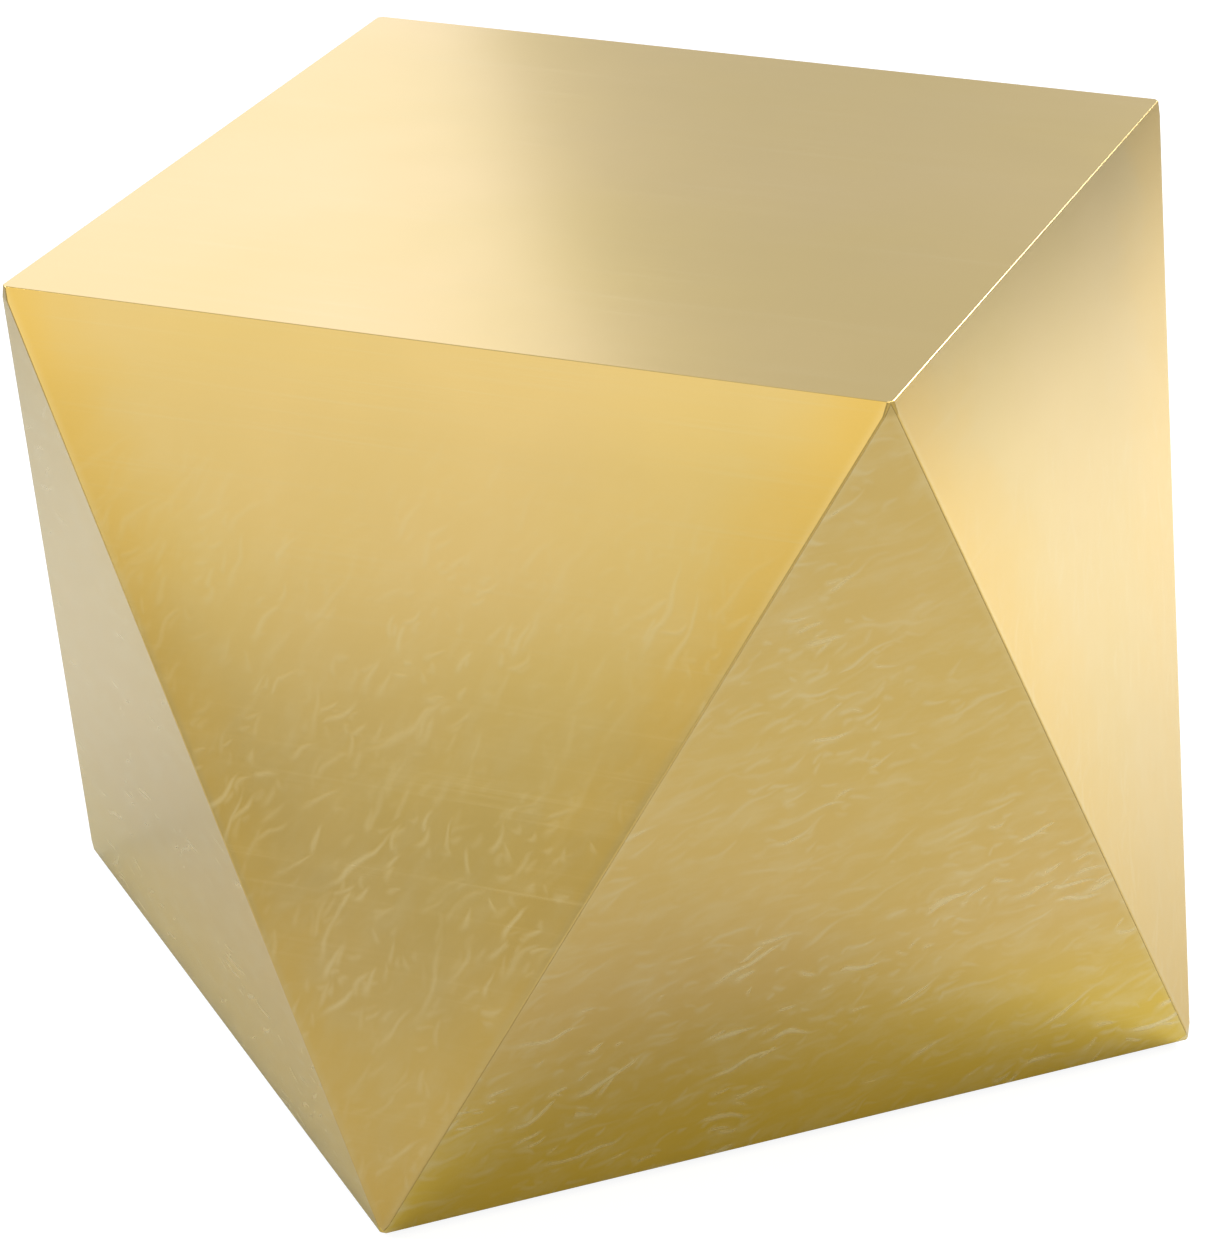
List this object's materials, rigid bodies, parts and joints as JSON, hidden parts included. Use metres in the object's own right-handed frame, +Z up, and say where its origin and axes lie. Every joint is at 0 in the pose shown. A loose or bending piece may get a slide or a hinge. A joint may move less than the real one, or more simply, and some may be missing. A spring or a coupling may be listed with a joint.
{
  "type": "faceted side table",
  "caption": "Low side table: a hollow gold-toned metal body with a square top, a square base turned an eighth of a turn, and triangular sides.",
  "frame": {"origin": "on the floor under the centre of the table, with its feet screwed right in", "axes": "+Z up; X and Y lie along the edges of the top, and the corners of the base point along X and Y"},
  "size_m": [0.6332, 0.6332, 0.435],
  "materials": {
    "gold_sheet": "satin brushed, gold-toned",
    "mill_steel": "plain mill finish",
    "zinc_plate": "bright zinc plated",
    "plywood": "raw plywood",
    "coated_plate": "black powder coat",
    "nylon": "moulded black nylon"
  },
  "bodies": {
    "table": {"top_panel": "gold_sheet", "hanging_panel_right": "gold_sheet", "hanging_panel_back": "gold_sheet", "hanging_panel_left": "gold_sheet", "hanging_panel_front": "gold_sheet", "standing_panel_back_right": "gold_sheet", "standing_panel_back_left": "gold_sheet", "standing_panel_front_left": "gold_sheet", "standing_panel_front_right": "gold_sheet", "seam_angle_1": "mill_steel", "seam_angle_2": "mill_steel", "seam_angle_3": "mill_steel", "seam_angle_4": "mill_steel", "seam_angle_5": "mill_steel", "seam_angle_6": "mill_steel", "seam_angle_7": "mill_steel", "seam_angle_8": "mill_steel", "top_rail_right": "mill_steel", "top_rail_back": "mill_steel", "top_rail_left": "mill_steel", "top_rail_front": "mill_steel", "base_rail_back_right": "mill_steel", "base_rail_back_left": "mill_steel", "base_rail_front_left": "mill_steel", "base_rail_front_right": "mill_steel", "corner_bracket_right": "mill_steel", "corner_bracket_back": "mill_steel", "corner_bracket_left": "mill_steel", "corner_bracket_front": "mill_steel", "deck_screws": "zinc_plate", "base_screws": "zinc_plate", "clinch_nuts": "zinc_plate", "foot_nuts": "zinc_plate", "top_deck": "plywood", "base_plate": "coated_plate"},
    "foot_right": {"foot_stud_right": "zinc_plate", "foot_pad_right": "nylon"},
    "foot_back": {"foot_stud_back": "zinc_plate", "foot_pad_back": "nylon"},
    "foot_left": {"foot_stud_left": "zinc_plate", "foot_pad_left": "nylon"},
    "foot_front": {"foot_stud_front": "zinc_plate", "foot_pad_front": "nylon"}
  },
  "joints": [
    {"name": "foot_right_height", "type": "slide", "parent": "table", "child": "foot_right", "axis": [0, 0, -1], "range_m": [0, 0.008]},
    {"name": "foot_back_height", "type": "slide", "parent": "table", "child": "foot_back", "axis": [0, 0, -1], "range_m": [0, 0.008]},
    {"name": "foot_left_height", "type": "slide", "parent": "table", "child": "foot_left", "axis": [0, 0, -1], "range_m": [0, 0.008]},
    {"name": "foot_front_height", "type": "slide", "parent": "table", "child": "foot_front", "axis": [0, 0, -1], "range_m": [0, 0.008]}
  ]
}
